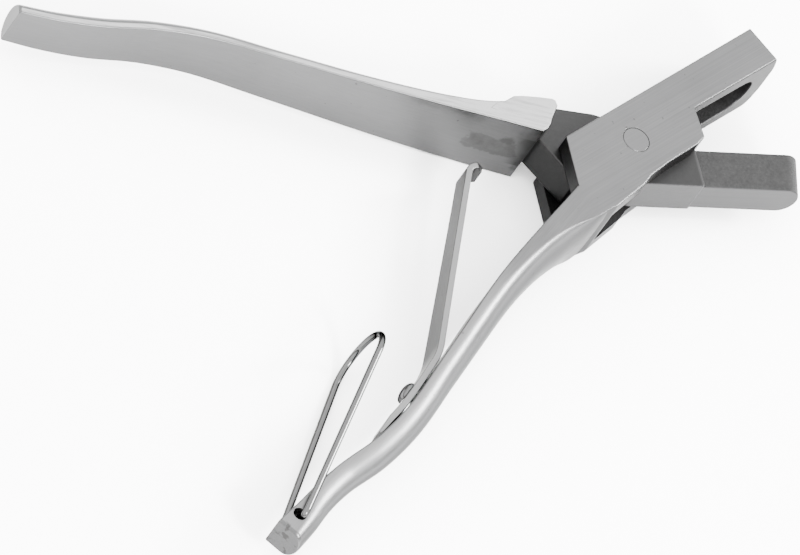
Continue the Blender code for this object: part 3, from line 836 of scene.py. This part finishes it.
def lever_finish():
    """Jaw lever: satin handle, scratched dark hub, cast jaw sides and ground jaw face; painted
    light lifts the inner face and the near strip, and painted shade darkens the ground jaw face.
    """
    head, colours = Sizes("head"), Sizes("steel")
    finish = Finish("forged_lever")
    tilt, splay = head.jaw_angle, Sizes("handle").splay
    u, _ = finish.axes(-tilt)
    depth = abs(finish.z - head.joint_width / 2.0)
    cloud = finish.noise(finish.place, 0.05, 3.0)
    grain = finish.noise(finish.place, 1.3, 5.0, 0.75)
    blot = finish.noise(finish.place, 0.35, 4.0, 0.6)

    # which part of the lever this is
    jaw = u.rises(HUB_NOSE - 1.1, HUB_NOSE + 0.2)
    # the lower jaw's ground outer face, which looks down at the floor; painted shade darkens it
    # in the tone below
    ground = finish.looks((-math.sin(tilt), -math.cos(tilt), 0.0), 0.6, 0.9) \
        * finish.x.rises(-2.0, 0.0)
    hub = ((1.0 - jaw) * (1.0 - ground) * finish.x.rises(-30.5, -25.0)
           * depth.rises(head.hub_width / 2.0 + 0.5, head.hub_width / 2.0 + 0.1))
    cast = jaw * (1.0 - ground)
    # painted light: faces that look the inner face's way are painted lighter in the tone below;
    # the stains are held to them too
    lit_inner_face = finish.looks((-0.5, -0.86, 0.0), 0.6, 0.9)
    lines = finish.lines_along(-splay) * (1.0 - jaw) + finish.lines_along(-tilt) * jaw

    # stains on the inner face, by distance from the root and height, both wavering with the
    # blots: smoke by the hub, a smudge, a dark panel with its rim, a patch and specks
    along = finish.along_handle(1.0) + (blot - 0.5) * 7.0
    tall = finish.z + (cloud - 0.5) * 5.0 + (blot - 0.5) * 4.0
    round_mark = ((along - 7.0) ** 2.0 + (tall - 14.1) ** 2.0) ** 0.5
    stained = along.rises(7.0, -2.0) * tall.rises(10.5, 14.5) * 0.85
    for mark in (along.within(20.0, 34.0, 6.0) * tall.rises(18.4, 20.4) * 0.35,
                 along.within(4.0, 17.0, 1.0) * tall.within(9.3, 13.2, 0.9) * (blot * 0.9),
                 along.within(4.0, 17.0, 0.8) * tall.within(8.3, 8.9, 0.5) * 0.45,
                 along.rises(2.5, 0.0) * tall.within(3.5, 10.0, 1.4) * 0.7,
                 round_mark.rises(2.8, 0.8) * 0.6,
                 finish.noise(finish.place, 0.7, 2.0).rises(0.73, 0.78) * 0.6):
        stained = stained.highest(mark)
    stained = stained * lit_inner_face * (1.0 - jaw) * (1.0 - ground)

    # the near side of the handle: a strip, freshly ground and also painted lighter as a highlight
    # where it faces up, that widens to the ground tab at its root
    near = finish.looks(UPRIGHT, 0.90, 0.975) * finish.z.rises(19.0, 20.5)
    near = near.highest(finish.looks(UPRIGHT, 0.95, 0.99) * finish.x.rises(-38.0, -50.0))
    near = near * finish.x.rises(-16.0, -16.5)
    streak = finish.lines_along(-splay, 0.06, 0.9)
    ground_shine_and_highlight = near * (0.9 + (streak - 0.5) * 3.0).lowest(1.0).highest(0.0)

    # painted light on the inner face, and painted shade on the ground jaw face
    tone = (0.97 + lit_inner_face * 0.17 + (cloud - 0.5) * 0.2 + (lines - 0.5) * 0.42
            - ground * 0.46)
    satin = finish.shaded((*colours.satin,), tone)
    satin = finish.mixed(ground_shine_and_highlight, satin, (*colours.bright,))
    satin = finish.mixed(stained, satin, (*colours.stain,))
    rough = finish.shaded((*colours.cast,), 0.25 + grain * 1.5 + blot * 0.5)
    scratch = finish.lines_along(math.radians(118.0), 0.05, 1.6).rises(0.66, 0.74)
    scratched = finish.shaded((*colours.cast,), 0.8 + grain * 0.45 + scratch * 1.2)
    base = finish.mixed(hub, finish.mixed(cast, satin, rough), scratched)
    roughness = 0.34 + (lines - 0.5) * 0.2 + cast * 0.22 + hub * 0.1
    height = lines * 0.5 * (1.0 - cast) + grain * cast * 5.0
    return finish.steel(base, roughness, height, grazing=0.7)


def rivet_finish():
    """Pivot rivet, ground flush with the cheeks."""
    finish = Finish("rivet_steel")
    lines = finish.lines_along(Sizes("head").jaw_angle)
    base = finish.shaded((*Sizes("steel").satin,), 0.9 + (lines - 0.5) * 0.25)
    return finish.steel(base, 0.32 + (lines - 0.5) * 0.16, lines * 0.35)


def leaf_finish():
    """Spring steel strip, rolled lengthways, with its edge that faces up painted lighter as a
    highlight.
    """
    spring = Sizes("spring")
    finish = Finish("spring_steel")
    lines = finish.lines_along(spring.arm_angle)
    cloud = finish.noise(finish.place, 0.12, 3.0)
    # painted highlight: the leaf's narrow edge that faces up is painted lighter
    edge = finish.looks(UPRIGHT, 0.6, 0.9)
    tone = 0.85 + (cloud - 0.5) * 0.3 + (lines - 0.5) * 0.3 + edge * 0.7
    base = finish.shaded((*Sizes("steel").leaf,), tone)
    return finish.steel(base, 0.3 + (lines - 0.5) * 0.15, lines * 0.3, edge=0.15, grazing=0.45)


def wire_finish(name):
    """Bright drawn wire, with faint die marks."""
    finish = Finish(name)
    cloud = finish.noise(finish.place, 0.5, 3.0)
    base = finish.shaded((*Sizes("steel").wire,), 0.92 + (cloud - 0.5) * 0.2)
    return finish.steel(base, 0.07 + cloud * 0.08, cloud, 0.01, edge=0.05, grazing=0.3)


# The pieces

class APPLICATOR_OT_body(bpy.types.Operator):
    """Slotted body: two cheeks, channelled upper jaw and lower handle in one forging"""
    bl_idname = "applicator.slotted_body"
    bl_label = "Slotted body"

    def execute(self, context):
        head, handle = Sizes("head"), Sizes("handle")
        width, through = head.joint_width, head.joint_width + 2.0
        biting_corner = (head.throat, -FACE_OFFSET, 0.5)
        piece = mesh_piece("body_forging", skin(head_prism(
            head.upper_jaw, head.upper_outer, -FACE_OFFSET, [biting_corner], 0.0, width, RIM,
            1.0)))
        lower = mesh_piece("lower handle", skin(handle_rings(
            -1.0, handle.reach + END_BLOCK_LENGTH, handle.body_grip, handle.body_end, 0.8,
            END_BLOCK_THICKNESS, END_BLOCK_THICKNESS * 0.6, LOWER_SHIFT, 1.2)))
        combined(piece, [lower], "UNION")
        seat, axis = spring_rivet_seat()
        combined(piece, [
            mesh_piece("nose", skin(self.nose_rings())),
            mesh_piece("slot", skin(self.slot_rings())),
            mesh_piece("channel", skin(self.channel_rings())),
            drill("pivot bore", head.rivet + 2.0 * head.rivet_gap, -2.0, through),
            drill("cross hole", BAIL_HOLE, -2.0, through, (*bail_hole_place(), 0.0), UPRIGHT, 40),
            drill("rivet drill", SHANK_HOLE, SPRING_RIVET_LOW - 0.5, 6.0, seat, axis, 40),
        ], "DIFFERENCE")
        shaded(piece)
        dressed(piece, body_finish(), "frame", "body_steel", "slotted_body")
        return {"FINISHED"}

    @staticmethod
    def slot_rings():
        """Slot for the hub: an arc about the pivot towards the jaws, flat at the back.

        Below the jaw's line the arc's radius grows past the throat, for the lower jaw's way.
        """
        head = Sizes("head")
        middle, half = head.joint_width / 2.0, head.hub_width / 2.0 + HUB_SIDE_GAP
        far, past_throat = 34.0, 3.0
        turns = np.radians(np.linspace(-80.0, 82.0, 60))
        mouth = turns < head.jaw_angle - MOUTH_TURN
        arc = polar(np.where(mouth, head.throat + past_throat, SLOT_REACH), turns)
        rest = np.array([(arc[-1, 0], far), (SLOT_BACK[0] - 12.0, far),
                         turned(SLOT_CROWN, head.jaw_angle), SLOT_BACK,
                         SLOT_BELLY, (SLOT_BELLY[0] + 0.5, -far), (arc[0, 0], -far)])
        return rounded_prism(np.concatenate([arc, rest]), middle - half, middle + half,
                             CUT_RIM, 1)

    @staticmethod
    def channel_rings():
        """Tag channel: an outline with a round tip, sunk into the biting face.

        It starts inside the slot, so that no wall is left between the two.
        """
        head = Sizes("head")
        tip, radius = head.upper_jaw - NOSE_LENGTH, head.channel_tip_width / 2.0
        half, root = head.channel_width / 2.0, SLOT_REACH - 1.2
        arc = polar(radius, np.linspace(-np.pi / 2.0, np.pi / 2.0, 25)) + (tip - radius, 0.0)
        outline = np.concatenate([[(root, -half)], arc, [(root, half)]])
        rings = rounded_prism(outline, -6.0, head.channel_depth - FACE_OFFSET, 0.3, 3)
        place = turned(rings[..., [0, 2]], head.jaw_angle)
        return np.concatenate([place, head.joint_width / 2.0 - rings[..., 1:2]], axis=-1)

    @staticmethod
    def nose_rings():
        """What is cut off the upper jaw's end: a parabola in plan, with one round corner."""
        head = Sizes("head")
        middle = head.joint_width / 2.0
        z = np.linspace(head.joint_width + 1.0, NOSE_CORNER, 24)
        front = head.upper_jaw - NOSE_ROUND * ((z - middle) / middle) ** 2
        turn = np.linspace(0.0, np.pi / 2.0, 10)[1:]
        corner = np.stack([front[-1] - NOSE_CORNER * (1.0 - np.cos(turn)),
                           NOSE_CORNER * (1.0 - np.sin(turn))], axis=-1)
        far = head.upper_jaw + 4.0
        outline = np.concatenate([[(far, z[0])], np.stack([front, z], axis=-1), corner,
                                  [(corner[-1, 0], -2.0), (far, -2.0)]])
        rings = rounded_prism(outline, -8.0, head.half_height + 4.0, CUT_RIM, 1)
        place = turned(rings[..., [0, 2]], head.jaw_angle)
        return np.concatenate([place, rings[..., 1:2]], axis=-1)


class APPLICATOR_OT_lever(bpy.types.Operator):
    """Jaw lever: hub, plain lower jaw and upper handle in one forging"""
    bl_idname = "applicator.jaw_lever"
    bl_label = "Jaw lever"

    def execute(self, context):
        head, handle = Sizes("head"), Sizes("handle")
        low = (head.joint_width - head.hub_width) / 2.0
        nose = [(19.9, -6.2, 2.0), (20.9, -3.1, 1.5)]
        piece = mesh_piece("lever_forging", skin(head_prism(
            HUB_NOSE, head.lower_outer, -head.lower_bite + 0.3, nose, low,
            low + head.hub_width, 0.35, -1.0)))
        jaw = mesh_piece("lower jaw", skin(self.jaw_rings()))
        upper = mesh_piece("upper handle", skin(handle_rings(
            1.0, handle.reach, handle.lever_grip, handle.lever_end, 1.0,
            handle.lever_grip - 0.6, handle.flank, [(0.0, 0.0), (1.0, 0.0)], 0.8)))
        tab = rounded_prism(np.array(TAB_OUTLINE), head.joint_width - TAB_DEPTH,
                            head.joint_width - 0.04, 0.35)
        combined(piece, [jaw, upper, mesh_piece("tab", skin(tab))], "UNION")
        combined(piece, [drill("hub bore", head.rivet + 2.0 * head.rivet_gap, 0.0,
                               head.joint_width)], "DIFFERENCE")
        shaded(piece)
        dressed(piece, lever_finish(), "lever", "lever_steel", "jaw_lever")
        return {"FINISHED"}

    @staticmethod
    def jaw_rings():
        """Jaw bar: an outline with a half-round end, raised to the jaw's height.

        Its end leans: it grows longer in proportion to the distance from the outer face.
        """
        head = Sizes("head")
        half, root = head.lower_jaw_width / 2.0, head.throat - 6.0
        arc = polar(half, np.linspace(-np.pi / 2.0, np.pi / 2.0, 33)) \
            + (head.lower_jaw - half, 0.0)
        outline = np.concatenate([[(root, -half)], arc, [(root, half)]])
        outer = head.lower_outer - 0.15
        rings = rounded_prism(outline, -head.lower_bite, outer, 0.35)
        lean = JAW_LEAN * (outer - rings[..., 2]) / (outer + head.lower_bite)
        rings[..., 0] += np.where(rings[..., 0] > head.throat, lean, 0.0)
        place = mirrored(turned(rings[..., [0, 2]], head.jaw_angle))
        return np.concatenate([place, head.joint_width / 2.0 + rings[..., 1:2]], axis=-1)


class APPLICATOR_OT_pivot(bpy.types.Operator):
    """Pivot rivet, flush with both cheeks"""
    bl_idname = "applicator.pivot_rivet"
    bl_label = "Pivot rivet"

    def execute(self, context):
        head = Sizes("head")
        # a cylinder whose two rims are broken at 45 degrees
        radius, width, edge = head.rivet / 2.0, head.joint_width, 0.12
        profile = [(radius - edge, 0.0), (radius, edge), (radius, width - edge),
                   (radius - edge, width)]
        piece = mesh_piece("pivot_pin", skin(revolved(profile, PIVOT, UPRIGHT, 96)))
        shaded(piece)
        dressed(piece, rivet_finish(), "frame", "rivet_steel", "pivot_rivet")
        return {"FINISHED"}


class APPLICATOR_OT_leaf(bpy.types.Operator):
    """Leaf spring with a hooked end, and its hole for the rivet"""
    bl_idname = "applicator.leaf_spring"
    bl_label = "Leaf spring"

    def execute(self, context):
        piece = mesh_piece("leaf_strip", skin(self.leaf_rings()))
        seat, axis = spring_rivet_seat()
        combined(piece, [drill("leaf drill", SHANK_HOLE, SPRING_RIVET_LOW, 4.0, seat, axis, 40)],
                 "DIFFERENCE")
        shaded(piece)
        dressed(piece, leaf_finish(), None, "spring_steel", "leaf_spring")
        start, _ = leaf_seat(LEAF_BEND_AT)
        arm = polar(1.0, Sizes("spring").arm_angle)
        middle = Sizes("head").joint_width / 2.0
        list((start + arm * FLEX_FROM) * MM)
        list((start + arm * FLEX_TO) * MM)
        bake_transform(piece)
        return {"FINISHED"}

    @staticmethod
    def leaf_rings():
        """A strip with rounded edges carried along the leaf's middle line.

        Its width falls evenly along the arm and at both ends, and its foot is ground thin.
        """
        spring = Sizes("spring")
        path = leaf_path()
        way = unit(np.gradient(path, axis=0))
        normal = np.stack([-way[:, 1], way[:, 0]], axis=-1)
        steps = np.linalg.norm(np.diff(path, axis=0), axis=1)
        run = np.concatenate([[0.0], np.cumsum(steps)])
        left = run[-1] - run
        narrow = np.interp(run, [0.0, 5.0, 10.0], [0.55, 0.9, 1.0]) \
            * np.interp(left, [0.0, 1.8], [0.62, 1.0])
        thin = np.interp(run, [0.0, 5.0], [0.45, 1.0])
        lifted = np.clip((run - LEAF_FOOT) / spring.arm, 0.0, 1.0) ** 0.8
        half = (spring.width + (spring.tip_width - spring.width) * lifted) / 2.0 * narrow
        thick, radius = spring.thickness / 2.0, LEAF_CORNER
        corner = np.linspace(0.0, np.pi / 2.0, 4)
        turn = np.concatenate([corner + k * np.pi / 2.0 for k in range(4)])
        side = np.repeat([1.0, -1.0, -1.0, 1.0], 4)
        face = np.repeat([1.0, 1.0, -1.0, -1.0], 4)
        across = (half[:, None] - radius) * side + radius * np.cos(turn)
        up = (thick - radius) * face + radius * np.sin(turn)
        up = -thick + (up + thick) * thin[:, None]
        place = path[:, None] + normal[:, None] * up[..., None]
        middle = Sizes("head").joint_width / 2.0
        return np.concatenate([place, (middle + across)[..., None]], axis=-1)


class APPLICATOR_OT_spring_rivet(bpy.types.Operator):
    """Domed rivet that holds the leaf's foot"""
    bl_idname = "applicator.spring_rivet"
    bl_label = "Spring rivet"

    def execute(self, context):
        spring = Sizes("spring")
        seat, axis = spring_rivet_seat()
        # a straight shank, a thin rim and a quarter ellipse over it for the dome
        shank, radius, rim = SPRING_RIVET_SHANK / 2.0, spring.rivet_head / 2.0, 0.25
        turn = np.linspace(0.0, np.pi / 2.0, 16)[1:]
        dome = np.stack([np.maximum(radius * np.cos(turn), 0.1),
                         rim + (spring.rivet_dome - rim) * np.sin(turn)], axis=-1)
        profile = [(shank, SPRING_RIVET_LOW), (shank, 0.0), (radius - 0.15, 0.0),
                   (radius, 0.12), *dome.tolist()]
        piece = mesh_piece("leaf_rivet", skin(revolved(profile, seat, axis)))
        shaded(piece, 50.0)
        dressed(piece, wire_finish("bright_rivet"), "frame", "rivet_steel", "spring_rivet")
        return {"FINISHED"}


class APPLICATOR_OT_bail(bpy.types.Operator):
    """Wire bail, bent to a U with both ends turned into the cross hole"""
    bl_idname = "applicator.wire_bail"
    bl_label = "Wire bail"

    def execute(self, context):
        piece = mesh_piece("bail_wire", skin(tube(self.wire_path(), Sizes("bail").wire / 2.0)))
        shaded(piece, 50.0)
        dressed(piece, wire_finish("bright_wire"), "bail", "wire_steel", "wire_bail")
        return {"FINISHED"}

    @staticmethod
    def wire_path():
        """Middle line of the wire, from one end inside the hole to the other.

        A quarter circle turns it out of the hole, a straight leg spreads evenly, and a half
        circle closes the loop; the second half is the mirror image. The lean tips it all about
        its own length, so that a point moves across by the sine and along Z by the cosine.
        """
        bail, handle, head = Sizes("bail"), Sizes("handle"), Sizes("head")
        wire = bail.wire / 2.0
        leg = handle.body_end / 2.0 + SEAT_GAP + wire
        inside = leg - wire - SEAT_GAP - bail.turn_in
        quarter = np.linspace(0.0, np.pi / 2.0, 12)
        turn_in = np.stack([bail.bend - bail.bend * np.cos(quarter),
                            leg - bail.bend + bail.bend * np.sin(quarter)], axis=-1)
        straight = bail.reach - bail.loop
        run = np.linspace(bail.bend, straight, 40)[1:-1]
        spread = np.linspace(leg, bail.loop, 40)[1:-1]
        first = np.concatenate([[(0.0, inside)], turn_in, np.stack([run, spread], axis=-1)])
        loop = polar(bail.loop, np.linspace(np.pi / 2.0, -np.pi / 2.0, 48)) + (straight, 0.0)
        flat = np.concatenate([first, loop, mirrored(first)[::-1]])
        way, hole = polar(1.0, bail.lift), bail_hole_place()
        over = np.array([-way[1], way[0]])
        place = hole + way * flat[:, :1] - over * flat[:, 1:] * math.sin(bail.lean)
        return np.concatenate([place, head.joint_width / 2.0
                               + flat[:, 1:] * math.cos(bail.lean)], axis=-1)


# The studio

class APPLICATOR_OT_studio(bpy.types.Operator):
    """Pale floor, soft lamps and the camera"""
    bl_idname = "applicator.studio"
    bl_label = "Studio"

    def execute(self, context):
        studio = Sizes("studio")
        around = np.linspace(0.0, 2.0 * np.pi, FLOOR_SIDES, endpoint=False)
        ring = polar(studio.floor_radius, around)
        level = np.full((FLOOR_SIDES, 1), FLOOR_LEVEL)
        floor = mesh_piece("studio_floor", (np.concatenate([ring, level], axis=1),
                                            [list(range(FLOOR_SIDES))]))
        floor.data.materials.append(self.floor_material())
        self.world()
        for name, direction in LAMPS.items():
            self.lamp(name, direction, studio.lamp_power)
        lens = bpy.data.cameras.new("camera")
        lens.lens = studio.lens
        lens.sensor_width = SENSOR
        lens.clip_end = 40.0
        camera = bpy.data.objects.new("camera", lens)
        back = np.cross(VIEW_RIGHT, VIEW_UP)
        turn = Matrix((VIEW_RIGHT, VIEW_UP, back)).transposed().to_4x4()
        turn.translation = ((VIEW_TARGET + back * studio.distance) * MM).tolist()
        camera.matrix_world = turn
        context.scene.collection.objects.link(camera)
        context.scene.camera = camera
        return {"FINISHED"}

    @staticmethod
    def floor_material():
        """Matt and pale, with very faint clouds."""
        finish = Finish("pale_floor")
        shade = finish.noise(finish.place, 0.004, 2.0) * 0.02 + 0.98
        base = finish.shaded((*Sizes("steel").floor,), shade)
        shader = finish.node("ShaderNodeBsdfPrincipled", None,
                             {"Base Color": base, "Roughness": 0.9})
        finish.node("ShaderNodeOutputMaterial", None, {"Surface": shader.outputs[0]})
        return finish.material

    @staticmethod
    def world():
        """White tent that darkens smoothly towards the horizon."""
        world = bpy.context.scene.world or bpy.data.worlds.new("studio")
        bpy.context.scene.world = world
        world.use_nodes = True
        tent = Nodes(world.node_tree)
        place = tent.node("ShaderNodeTexCoord").outputs["Generated"]
        shade = tent.split(place)[2].rises(0.02, 0.32) * 0.94 + 0.06
        backdrop = tent.node("ShaderNodeBackground", None,
                             {"Color": shade, "Strength": Sizes("studio").tent})
        tent.node("ShaderNodeOutputWorld", None, {"Surface": backdrop.outputs[0]})

    @staticmethod
    def lamp(name, direction, power):
        """Square softbox that faces the middle of the tool."""
        light = bpy.data.lights.new(name, "AREA")
        light.size = LAMP_SIZE
        light.energy = power
        lamp = bpy.data.objects.new(name, light)
        way = unit(np.array(direction))
        side = unit(np.cross(UPRIGHT, way))
        turn = Matrix((side, np.cross(way, side), way)).transposed().to_4x4()
        turn.translation = (way * LAMP_DISTANCE + LAMP_TARGET).tolist()
        lamp.matrix_world = turn
        bpy.context.scene.collection.objects.link(lamp)


OPERATORS = (APPLICATOR_OT_body, APPLICATOR_OT_lever, APPLICATOR_OT_pivot, APPLICATOR_OT_leaf,
             APPLICATOR_OT_spring_rivet, APPLICATOR_OT_bail, APPLICATOR_OT_studio)


class APPLICATOR_PT_panel(bpy.types.Panel):
    """Lists the pieces in the order in which they are made"""
    bl_idname = "APPLICATOR_PT_panel"
    bl_label = "Ear tag applicator"
    bl_space_type = "VIEW_3D"
    bl_region_type = "UI"
    bl_category = "Applicator"

    def draw(self, context):
        for operator in OPERATORS:
            self.layout.operator(operator.bl_idname)
        for group in GROUPS:
            box = self.layout.box()
            settings = getattr(context.scene, "applicator_" + group)
            for name in settings.__annotations__:
                box.prop(settings, name)


def register():
    for kind in (*GROUPS.values(), *OPERATORS, APPLICATOR_PT_panel):
        bpy.utils.register_class(kind)
    for name, kind in GROUPS.items():
        setattr(bpy.types.Scene, "applicator_" + name, bpy.props.PointerProperty(type=kind))


def unregister():
    for name in GROUPS:
        delattr(bpy.types.Scene, "applicator_" + name)
    for kind in reversed((*GROUPS.values(), *OPERATORS, APPLICATOR_PT_panel)):
        bpy.utils.unregister_class(kind)


def main():
    register()
    for operator in OPERATORS:
        group, name = operator.bl_idname.split(".")
        getattr(getattr(bpy.ops, group), name)()


if __name__ == "__main__":
    main()
